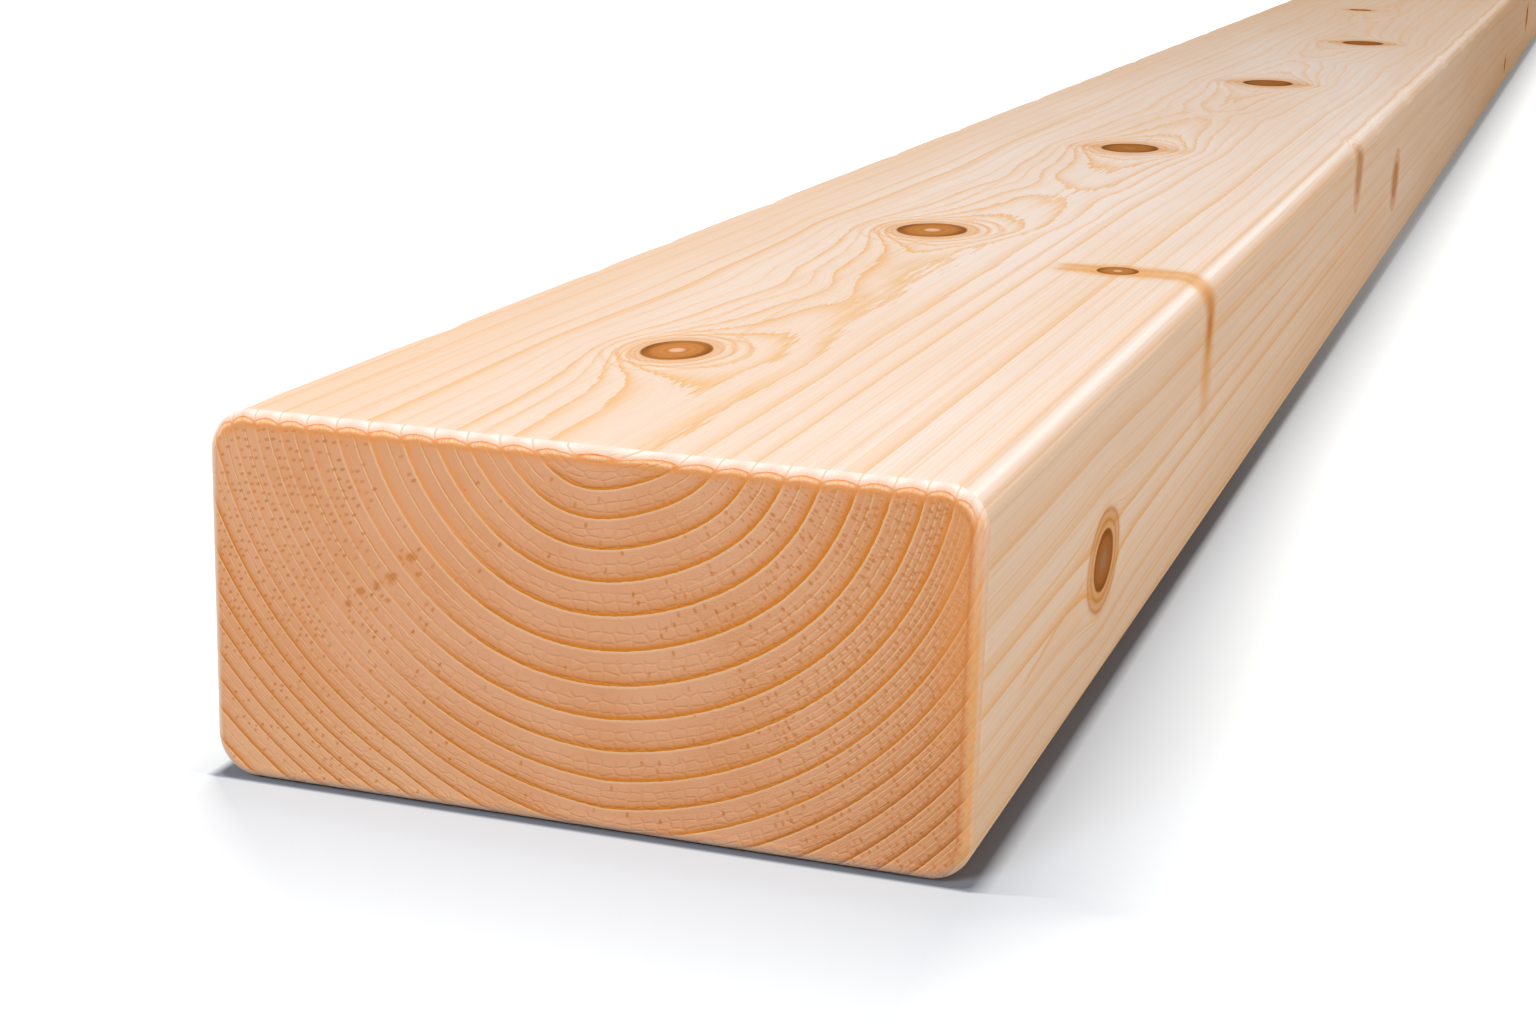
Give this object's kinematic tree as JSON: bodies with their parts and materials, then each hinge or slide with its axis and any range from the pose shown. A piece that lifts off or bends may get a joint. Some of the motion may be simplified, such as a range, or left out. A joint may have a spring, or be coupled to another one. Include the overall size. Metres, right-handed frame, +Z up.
{
  "type": "timber plank",
  "caption": "Planed softwood plank with rounded long edges, eased square-cut ends, growth rings on the ends and knots in the faces, for framing and building work.",
  "frame": {"origin": "centre of the bottom broad face, on the floor", "axes": "+Y along the length away from the shown end, +X across the width, +Z up through the thickness"},
  "size_m": [0.145, 6, 0.07],
  "materials": {
    "softwood": "planed, bare"
  },
  "bodies": {
    "root": {"plank": "softwood"}
  },
  "joints": []
}
